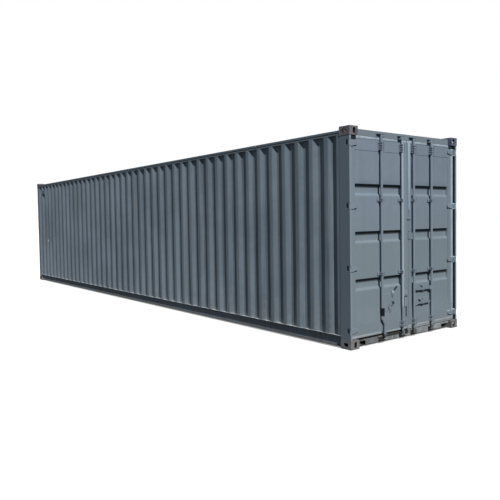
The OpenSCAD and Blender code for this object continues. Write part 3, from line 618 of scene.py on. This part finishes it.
def vent_hoods():
    """Louvred hoods over the vent holes high on both long sides."""
    node_low, node_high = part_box("air_vents")
    bm = bmesh.new()
    width = 0.226
    louvres = 5
    for x0, side in ((node_low.x, -1), (node_high.x - width, 1)):
        wall_y = side * (SIDE_Y - 0.008)
        front_y = side * (SIDE_Y - 0.003)
        z0, z1 = node_low.z, node_high.z
        block_in(bm, (x0, min(wall_y, front_y), z0), (x0 + width, max(wall_y, front_y), z1), 0.002)
        step = (z1 - z0 - 0.02) / louvres
        for k in range(louvres):
            z = z0 + 0.014 + k * step
            lip_y = side * (SIDE_Y - 0.0022)
            low = (x0 + 0.018, min(front_y, lip_y), z)
            block_in(bm, low, (x0 + width - 0.018, max(front_y, lip_y), z + step * 0.45))
        for dx in (0.010, width - 0.010):
            for z in (z0 + 0.010, z1 - 0.010):
                disc_in(bm, (x0 + dx, front_y, z), 0.005, 0.0008, "Y" if side > 0 else "-Y", 8)
    obj = piece(bm, "vent_hoods", "container", "frame_paint", PAINTS["wall_paint"])
    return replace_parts(obj, "air_vents")


# ---------------------------------------------------------------- floor


def plywood_boards():
    """Floor boards with narrow gaps, screwed down in rows, and a steel strip at mid width."""
    low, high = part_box("floor_boards")
    bm = bmesh.new()
    gap, strip = 0.003, 0.040
    lengths = 5
    step_x = (high.x - low.x) / lengths
    for side in (-1, 1):
        inner, outer = strip / 2, high.y - 0.012
        step_y = (outer - inner) / 2
        for row in range(2):
            y0 = inner + row * step_y
            ys = sorted((side * (y0 + gap / 2), side * (y0 + step_y - gap / 2)))
            for k in range(lengths):
                shift = step_x / 2 if row else 0.0
                x0 = low.x + k * step_x - shift + gap / 2
                x1 = min(high.x, x0 + step_x - gap)
                block_in(bm, (max(low.x, x0), ys[0], low.z), (x1, ys[1], high.z), 0.0008)
            if shift:
                block_in(bm, (high.x - shift + gap / 2, ys[0], low.z), (high.x, ys[1], high.z), 0.0008)
    boards_piece = piece(bm, "plywood_boards", "container", "plywood")
    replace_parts(boards_piece, "floor_boards")
    bm = bmesh.new()
    block_in(bm, (low.x, -strip / 2 + 0.001, low.z), (high.x, strip / 2 - 0.001, high.z + 0.001), 0.0015)
    piece(bm, "floor_strip", "container", "underframe_paint", PAINTS["underframe_paint"])
    bm = bmesh.new()
    first_x, last_x, side_y = END_X - 0.322, 0.323 - END_X, 1.08
    members, in_row = 36, 12
    for k in range(members):
        x = first_x + (last_x - first_x) * k / (members - 1)
        for n in range(in_row):
            y = side_y * (2 * n / (in_row - 1) - 1)
            disc_in(bm, (x, y, high.z - 0.0005), 0.006, 0.001, "Z", 6, 0.9)
    piece(bm, "floor_screws", "container", "underframe_paint", PAINTS["underframe_paint"])


# ---------------------------------------------------------------- doors


def pressed_panel(side):
    """Door sheet with three level recesses, their ends steep and their bends round."""
    node = side + "_door_panel"
    low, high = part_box(node)
    face_x = high.x - 0.0015
    bm = upright((low.y, low.z), (high.y, high.z), face_x)
    y0, y1 = low.y + RECESS_MARGIN, high.y - RECESS_MARGIN
    levels = [RECESS_LOW + k * RECESS_PITCH for k in range(3)]
    cut_at(bm, 1, [y0, y1])
    cut_at(bm, 2, [z for s in levels for z in (s, s + RECESS_H)])
    for s in levels:
        middle = Vector((face_x, (y0 + y1) / 2, s + RECESS_H / 2))
        face = min(bm.faces, key=lambda f: (f.calc_center_median() - middle).length)
        made = bmesh.ops.extrude_face_region(bm, geom=[face])
        floor = [v for v in made["geom"] if isinstance(v, bmesh.types.BMVert)]
        bmesh.ops.delete(bm, geom=[f for f in [face] if f.is_valid], context="FACES")
        for v in floor:
            v.co.x -= RECESS_DEPTH
            v.co.y += RECESS_END_SLOPE if v.co.y < middle.y else -RECESS_END_SLOPE
            v.co.z += RECESS_LOW_SLOPE if v.co.z < middle.z else -RECESS_TOP_SLOPE
    round_edges(bm, sharp_edges(bm, 15.0), 0.004, 3)
    cut_at(bm, 1, spread(low.y, high.y, 10))
    cut_at(bm, 2, spread(low.z, high.z, 26))
    wave, out_at_foot, out_at_head = 0.0020, 0.0088, 0.0055
    for v in bm.verts:
        edge = min(v.co.y - low.y, high.y - v.co.y, v.co.z - low.z, high.z - v.co.z)
        fade = min(1.0, edge / 0.20)
        v.co.x += wave * fade * noise.noise(Vector((5.0 + v.co.y * 2.2, low.y, v.co.z * 1.9)))
        v.co.x += out_at_foot * min(1.0, max(0.0, (low.z + 0.16 - v.co.z) / 0.12))
        v.co.x += out_at_head * min(1.0, max(0.0, (v.co.z - high.z + 0.16) / 0.12))
    bmesh.ops.solidify(bm, geom=bm.faces[:], thickness=0.002)
    bmesh.ops.recalc_face_normals(bm, faces=bm.faces)
    obj = piece(bm, side + "_pressed_panel", BODY_OF[node], SLOT_OF[node], smooth_below=40.0)
    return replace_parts(obj, node)


def ring_at(low, high, hole_low, hole_high, x):
    """A flat ring across X between an outer and an inner rectangle of (y, z) corners."""
    bm = upright(low, high, x)
    cut_at(bm, 1, [hole_low[0], hole_high[0]])
    cut_at(bm, 2, [hole_low[1], hole_high[1]])
    inside = [f for f in bm.faces
              if hole_low[0] < f.calc_center_median().y < hole_high[0]
              and hole_low[1] < f.calc_center_median().z < hole_high[1]]
    bmesh.ops.delete(bm, geom=inside, context="FACES")
    return bm


def door_gasket(side):
    """Rubber gasket round a leaf, with a raised lip along both its edges."""
    node = side + "_door_seal"
    low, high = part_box(node)
    frame_low, frame_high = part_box(side + "_door_frame")
    hole = (frame_low.y, frame_low.z), (frame_high.y, frame_high.z)
    bm = ring_at((low.y, low.z), (high.y, high.z), *hole, high.x - 0.004)
    ring = bm.faces[:]
    bmesh.ops.inset_region(bm, faces=ring, thickness=0.005, depth=0.004)
    bmesh.ops.inset_region(bm, faces=ring, thickness=0.003, depth=-0.004)
    made = bmesh.ops.extrude_edge_only(bm, edges=[e for e in bm.edges if e.is_boundary])
    back = [v for v in made["geom"] if isinstance(v, bmesh.types.BMVert)]
    bmesh.ops.translate(bm, verts=back, vec=(low.x - high.x + 0.004, 0, 0))
    loops = [e for e in bm.edges if e.is_boundary]
    bmesh.ops.bridge_loops(bm, edges=loops)
    bmesh.ops.recalc_face_normals(bm, faces=bm.faces)
    obj = piece(bm, side + "_gasket", BODY_OF[node], "seal_rubber", smooth_below=25.0)
    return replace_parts(obj, node)


def lip_in(bm, y0, y1, z0, z1, back=LIP_BACK, front=LEAF_FACE + 0.0035):
    """Adds one length of a gasket's outer lip, with its long edges well rounded."""
    block_in(bm, (back, y0, z0), (front, y1, z1), 0.0055, 3)


def gasket_lips(side):
    """Outer lips of the gasket, lying against header, posts and sill round the leaf."""
    bm = bmesh.new()
    sign = SIDES[side]
    low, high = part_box(side + "_door_seal")
    hinge_in, hinge_out = (sign * y for y in LIP_HINGE_SIDE)
    head_low, head_high = LIP_HEAD
    meet = high.y if side == "left" else low.y + 0.004
    lip_in(bm, *sorted((meet, sign * LIP_CORNER_Y)), head_low, head_high)
    lip_in(bm, *sorted((sign * LIP_CORNER_Y, hinge_out)), head_low, LIP_HEAD_AT_HINGE)
    lip_in(bm, *sorted((hinge_in, hinge_out)), 0.128, head_low + 0.002)
    if side == "right":
        lip_in(bm, meet, hinge_in, 0.134, 0.166)
        block_in(bm, (LIP_BACK, meet, 0.112), (LEAF_FACE - 0.002, hinge_in, 0.138), 0.002)
        lip_in(bm, 0.062, 0.102, 1.800, 2.751, LEAF_FACE - 0.002, LEAF_FACE + 0.012)
    else:
        lip_in(bm, hinge_in, -0.545, 0.124, 0.157)
        lip_in(bm, -0.500, -0.105, 0.122, 0.150, LIP_BACK, LEAF_FACE)
        lip_in(bm, -0.080, meet, 0.122, 0.156)
    return piece(bm, side + "_gasket_lips", BODY_OF[side + "_door_seal"], "seal_rubber", smooth_below=50.0)


def cover_strip(side):
    """The strip along a leaf's free edge; the right one also carries a lip and three small plates."""
    bm = bmesh.new()
    back = LEAF_FACE - 0.001
    y0, y1 = (-0.017, 0.0335) if side == "left" else (0.0365, 0.085)
    block_in(bm, (LIP_BACK, y0, 0.162), (LEAF_FACE + 0.0002, y1, 2.750), 0.001)
    if side == "right":
        lip_in(bm, 0.064, 0.090, 0.165, 1.795, LEAF_FACE - 0.002, LEAF_FACE + 0.007)
        block_in(bm, (back, 0.052, 1.398), (LEAF_FACE + 0.0155, 0.112, 1.486), 0.003, 2)
        block_in(bm, (back, 0.038, 1.676), (LEAF_FACE + 0.018, 0.112, 1.686), 0.001)
        block_in(bm, (back, 0.064, 1.500), (LEAF_FACE + 0.016, 0.092, 1.524), 0.004, 2)
    return piece(bm, side + "_cover_strip", BODY_OF[side + "_door_frame"], "door_paint")


def ribbed_guides(side):
    """Clamps that hold the bars on a leaf: thin ribs round each bar on a bolted foot."""
    node = side + "_bar_guides"
    panel_low, panel_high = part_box(side + "_door_panel")
    bm = bmesh.new()
    face = LEAF_FACE
    hole, front = 0.0185, BAR_X + 0.0185
    for n, y in enumerate(BARS[side]):
        for level, (middle, tall) in enumerate(GUIDES):
            if side == "left" and n == 0 and level == 0:
                continue  # The bent bar has no clamp there
            ends = level in (0, 3)
            low, high = middle - tall / 2, middle + tall / 2
            foot_w, ring_w = (0.046, 0.034 if level else 0.030) if ends else (0.058, 0.030)
            count = 4 if level == 3 else 2
            rib = {0: 0.034, 3: 0.019}.get(level, 0.016)
            for y0, y1 in ((y - ring_w + 0.006, y - hole), (y + hole, y + ring_w - 0.006)):
                block_in(bm, (face, y0, low + 0.003), (front - 0.012, y1, high - 0.003))
            block_in(bm, (face - 0.001, y - foot_w, low), (face + 0.005, y + foot_w, high), 0.0015)
            if not ends:
                y0, y1 = max(y - foot_w, panel_low.y), min(y + foot_w, panel_high.y)
                block_in(bm, (SHEET_FACE, y0, low), (face, y1, high))
            for k in range(count):
                z0 = low + (tall - rib) * k / (count - 1)
                z1 = z0 + rib
                block_in(bm, (face, y - ring_w, z0), (front + 0.003, y - hole, z1), 0.002)
                block_in(bm, (face, y + hole, z0), (front + 0.003, y + ring_w, z1), 0.002)
                block_in(bm, (front, y - ring_w, z0), (front + 0.003, y + ring_w, z1), 0.001)
            for edge in (y - foot_w + 0.010, y + foot_w - 0.010):
                for z in ((low + 0.020, high - 0.020) if ends else (middle,)):
                    disc_in(bm, (face + 0.005, edge, z), 0.0065, 0.004, "X", 6, 0.9)
    obj = piece(bm, side + "_ribbed_guides", BODY_OF[node], SLOT_OF[node])
    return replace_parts(obj, node)


def taper_blades(sign):
    """A shape for hinge blades: tall beside the barrel and narrow at the tip."""
    root, tip = 1.163, 1.035

    def shape(bm):
        cut_at(bm, 1, [sign * (root + 0.012), sign * root])
        for v in bm.verts:
            out = abs(v.co.y)
            if out > root + 0.001:
                continue
            middle = min(HINGES, key=lambda z: abs(z - v.co.z))
            along = (root - out) / (root - tip)
            if v.co.x > LEAF_FACE + 0.004:
                v.co.x += 0.007 * min(1.0, (root - out) / 0.030)
            taller = 1.75 - 1.10 * along if v.co.z < middle else 1.20 - 0.45 * along
            v.co.z = middle + (v.co.z - middle) * taller
    return shape


def one_sided(bm):
    """A shape for the header keepers: one wing is longer than the other."""
    for v in bm.verts:
        bar = min((y for side in SIDES for y in BARS[side]), key=lambda y: abs(y - v.co.y))
        if v.co.y < bar - 0.040:
            v.co.y -= 0.028


def hub_bracket(bm):
    """A shape for the left door's outer bar: the bent bracket that its handle was pinned in."""
    back, front = LEAF_FACE + 0.014, LEAF_FACE + 0.018
    y0, bend_y, y1 = -0.545, -0.531, -0.526
    low, high = 0.356, 0.480
    block_in(bm, (back, y0, low), (front, y1, high))
    block_in(bm, (front, bend_y, low), (END_X - 0.006, y1, high))
    block_in(bm, (front, y0, high - 0.006), (END_X - 0.008, bend_y, high))


def dented(bm):
    """A shape for the sill: its top edge is dented, and a plate closes each cut-out below, painted dark as
    shade.
    """
    start, end = DENT_Y
    cut_at(bm, 1, spread(start, end, 12) + [start, end])
    cut_at(bm, 0, [END_X - DENT_REACH_X])
    for v in bm.verts:
        if v.co.x > END_X - DENT_REACH_X + 0.001 and v.co.z > 0.095:
            into = min(1.0, max(0.0, min(v.co.y - start, end - v.co.y) / 0.07))
            sag = into * (0.016 + 0.010 * (v.co.y - start) / (end - start))
            v.co.z -= sag
            v.co.x -= 0.35 * sag
    foot = min(v.co.z for v in bm.verts)
    # These plates take the sill's painted shade at its foot, standing for the shaded ground seen through the
    # cut-outs.
    for y in (-1.055, 0.875):
        block_in(bm, (END_X - 0.111, y, foot), (LEAF_FACE - 0.004, y + 0.180, foot + 0.004))


def castings(node):
    """Corner castings with well rounded edges; their insides carry a mark for painted shade."""
    bm = merged(node)
    low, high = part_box(node)
    just_in, well_in = 0.003, 0.0125
    inside = bm.faces.layers.float.new("inside")
    for face in bm.faces:
        c = face.calc_center_median()
        corner = Vector((high.x - abs(c.x), high.y - abs(c.y), c.z - low.z))
        depth = min(min(corner[k], CASTING[k] - corner[k]) for k in range(3))
        face[inside] = 1.0 if depth > well_in else 0.55 if depth > just_in else 0.0
    bevelled(bm, sharp_edges(bm), 0.0075, 4)
    obj = piece(bm, node + "_finished", BODY_OF[node], SLOT_OF[node], smooth_below=40.0)
    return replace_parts(shaded_evenly(obj), node)


def lock_box():
    """The left door's lock plate: a shallow tray with a raised rim, a block and a hasp."""
    node = "left_lock_plate"
    bm = bmesh.new()
    face = LEAF_FACE
    y0, y1, z0, z1 = -0.043, 0.026, 0.440, 0.600
    block_in(bm, (face - 0.001, y0, z0), (face + 0.003, y1, z1), 0.001)
    rim, rise = 0.007, face + 0.012
    block_in(bm, (face, y0, z0), (rise, y0 + rim, z1), 0.002)
    block_in(bm, (face, y1 - rim, z0), (rise, y1, z1), 0.002)
    block_in(bm, (face, y0 + rim, z0), (rise, y1 - rim, z0 + rim), 0.002)
    block_in(bm, (face, y0 + rim, z1 - rim), (rise, y1 - rim, z1), 0.002)
    block_in(bm, (face - 0.001, y0, z1 + 0.010), (face + 0.008, y1, z1 + 0.070), 0.003, 2)
    block_in(bm, (face - 0.001, y0 + 0.040, z0 - 0.140), (face + 0.009, y0 + 0.058, z0), 0.002)
    obj = piece(bm, "lock_box", BODY_OF[node], SLOT_OF[node], LOCK_PAINT)
    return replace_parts(obj, node)


def handle_catches():
    """Plates behind the right door's handles, each with a shelf below and a slanting hook."""
    node = "right_handle_rests"
    bm = bmesh.new()
    face, back = LEAF_FACE, LEAF_FACE - 0.009
    y = sum(BARS["right"]) / 2
    for z, hook_shift in ((0.668, 0.014), (0.468, -0.026)):
        block_in(bm, (back, y - 0.034, z - 0.028), (face + 0.003, y + 0.034, z + 0.030), 0.0015)
        block_in(bm, (face, y - 0.026, z - 0.027), (END_X - 0.017, y + 0.026, z - 0.0215), 0.0015)
        hook = bmesh.new()
        block_in(hook, (0.0, -0.048, -0.008), (0.030, 0.072, 0.008), 0.002)
        turn = Matrix.Rotation(math.radians(-38.0), 4, "X")
        place = Matrix.Translation((SHEET_FACE, y + hook_shift, z + 0.024))
        bmesh.ops.transform(hook, matrix=place @ turn, verts=hook.verts)
        mesh = bpy.data.meshes.new("hook")
        hook.to_mesh(mesh)
        hook.free()
        bm.from_mesh(mesh)
        bpy.data.meshes.remove(mesh)
        block_in(bm, (back, y + 0.026, z + 0.042), (face + 0.012, y + 0.042, z + 0.054), 0.002)
    obj = piece(bm, "handle_catches", BODY_OF[node], SLOT_OF[node])
    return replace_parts(obj, node)


# ---------------------------------------------------------------- the container

for wall in ("left_side_wall", "right_side_wall", "front_wall"):
    corrugated_wall(wall)
roof_sheet()
vent_hoods()
plywood_boards()
for node in ("top_corner_castings", "bottom_corner_castings"):
    castings(node)
# Width and segments of the rounded edges, and a shape where the node has one of its own
ROUNDED = {
    "door_posts": (0.003, 2), "front_posts": (0.005, 3), "door_header": (0.003, 2),
    "door_sill": (0.003, 2, dented), "front_top_rail": (0.004, 2), "front_bottom_rail": (0.004, 2),
    "top_side_rails": (0.002, 2), "bottom_side_rails": (0.0015, 1),
    "left_hinge_lugs": (0.0015, 1), "right_hinge_lugs": (0.0015, 1),
    "header_keepers": (0.0015, 1, one_sided), "sill_keepers": (0.0015, 1),
    "left_door_frame": (0.003, 2), "right_door_frame": (0.003, 2),
    "left_hinge_blades": (0.002, 2, taper_blades(-1)), "right_hinge_blades": (0.002, 2, taper_blades(1)),
    "left_outer_bar": (0.0015, 1, hub_bracket), "left_inner_bar": (0.0015, 1),
    "right_inner_bar": (0.0015, 1), "right_outer_bar": (0.0015, 1),
    "right_inner_handle": (0.002, 2), "right_outer_handle": (0.002, 2),
}
for node, settings in ROUNDED.items():
    rounded(node, *settings)
lock_box()
handle_catches()
for side in SIDES:
    pressed_panel(side)
    door_gasket(side)
    gasket_lips(side)
    cover_strip(side)
    ribbed_guides(side)
cross_members = frame["nodes"]["cross_members"].data
cross_members.materials.clear()
cross_members.materials.append(PAINTS[SLOT_OF["cross_members"]])


# ---------------------------------------------------------------- stage, light, camera


def pale_floor():
    """A large pale floor that throws little light back on the shaded faces."""
    bm = bmesh.new()
    bmesh.ops.create_grid(bm, x_segments=1, y_segments=1, size=150.0)
    mesh = bpy.data.meshes.new("floor")
    bm.to_mesh(mesh)
    bm.free()
    floor = bpy.data.objects.new("floor", mesh)
    bpy.context.scene.collection.objects.link(floor)
    floor.location.z = -0.001
    material = bpy.data.materials.new("floor")
    material.use_nodes = True
    tree = material.node_tree
    tree.nodes.clear()
    out = tree.nodes.new("ShaderNodeOutputMaterial")
    seen = tree.nodes.new("ShaderNodeBsdfDiffuse")
    seen.inputs["Color"].default_value = (0.86, 0.87, 0.88, 1.0)
    glow = tree.nodes.new("ShaderNodeEmission")
    glow.inputs["Color"].default_value = (0.30, 0.30, 0.30, 1.0)
    lit = tree.nodes.new("ShaderNodeAddShader")
    thrown = tree.nodes.new("ShaderNodeBsdfDiffuse")
    thrown.inputs["Color"].default_value = (0.085, 0.095, 0.106, 1.0)
    path = tree.nodes.new("ShaderNodeLightPath")
    choose = tree.nodes.new("ShaderNodeMixShader")
    tree.links.new(seen.outputs[0], lit.inputs[0])
    tree.links.new(glow.outputs[0], lit.inputs[1])
    tree.links.new(path.outputs["Is Camera Ray"], choose.inputs[0])
    tree.links.new(thrown.outputs[0], choose.inputs[1])
    tree.links.new(lit.outputs[0], choose.inputs[2])
    tree.links.new(choose.outputs[0], out.inputs["Surface"])
    mesh.materials.append(material)


def sun(name, towards, strength, softness, colour=(1.0, 1.0, 1.0)):
    """A studio key or fill from far away; softness is its width in degrees."""
    lamp = bpy.data.lights.new(name, "SUN")
    lamp.energy = strength
    lamp.angle = math.radians(softness)
    lamp.color = colour
    obj = bpy.data.objects.new(name, lamp)
    obj.rotation_euler = Vector(towards).to_track_quat("Z", "Y").to_euler()
    bpy.context.scene.collection.objects.link(obj)


def studio_sky():
    """Weak cool light from all round, with a pale backdrop for the camera."""
    world = bpy.data.worlds.new("studio")
    bpy.context.scene.world = world
    world.use_nodes = True
    tree = world.node_tree
    tree.nodes.clear()
    out = tree.nodes.new("ShaderNodeOutputWorld")
    backdrop = tree.nodes.new("ShaderNodeBackground")
    backdrop.inputs["Color"].default_value = (1.0, 1.0, 1.0, 1.0)
    fill = tree.nodes.new("ShaderNodeBackground")
    fill.inputs["Color"].default_value = (0.56, 0.82, 1.00, 1.0)
    fill.inputs["Strength"].default_value = 0.056
    path = tree.nodes.new("ShaderNodeLightPath")
    choose = tree.nodes.new("ShaderNodeMixShader")
    tree.links.new(path.outputs["Is Camera Ray"], choose.inputs[0])
    tree.links.new(fill.outputs[0], choose.inputs[1])
    tree.links.new(backdrop.outputs[0], choose.inputs[2])
    tree.links.new(choose.outputs[0], out.inputs["Surface"])


def standing_camera():
    """A person's eye height, off the door end's left corner, looking along the box."""
    data = bpy.data.cameras.new("camera")
    data.sensor_width = 36.0
    data.lens = 40.366
    data.shift_x = 0.0644
    data.shift_y = -0.0155
    data.clip_end = 500.0
    camera = bpy.data.objects.new("camera", data)
    forward = Vector((-0.8097, 0.5854, -0.0404)).normalized()
    right = Vector((0.5864, 0.8098, -0.0182))
    right = (right - forward * right.dot(forward)).normalized()
    up = right.cross(forward)
    turn = Matrix((right, up, -forward)).transposed()
    camera.matrix_world = Matrix.Translation((10.9166, -6.7990, 1.7229)) @ turn.to_4x4()
    bpy.context.scene.collection.objects.link(camera)
    bpy.context.scene.camera = camera


pale_floor()
sun("key", (0.682, -0.248, 0.688), 3.50, 2.0, (1.0, 0.98, 0.95))
sun("back_fill", (-0.60, 0.66, 0.45), 1.40, 30.0)
sun("side_fill", (-0.62, -0.70, 0.35), 0.15, 60.0, (0.90, 0.96, 1.0))
studio_sky()
standing_camera()
bpy.context.scene.view_settings.view_transform = "Standard"
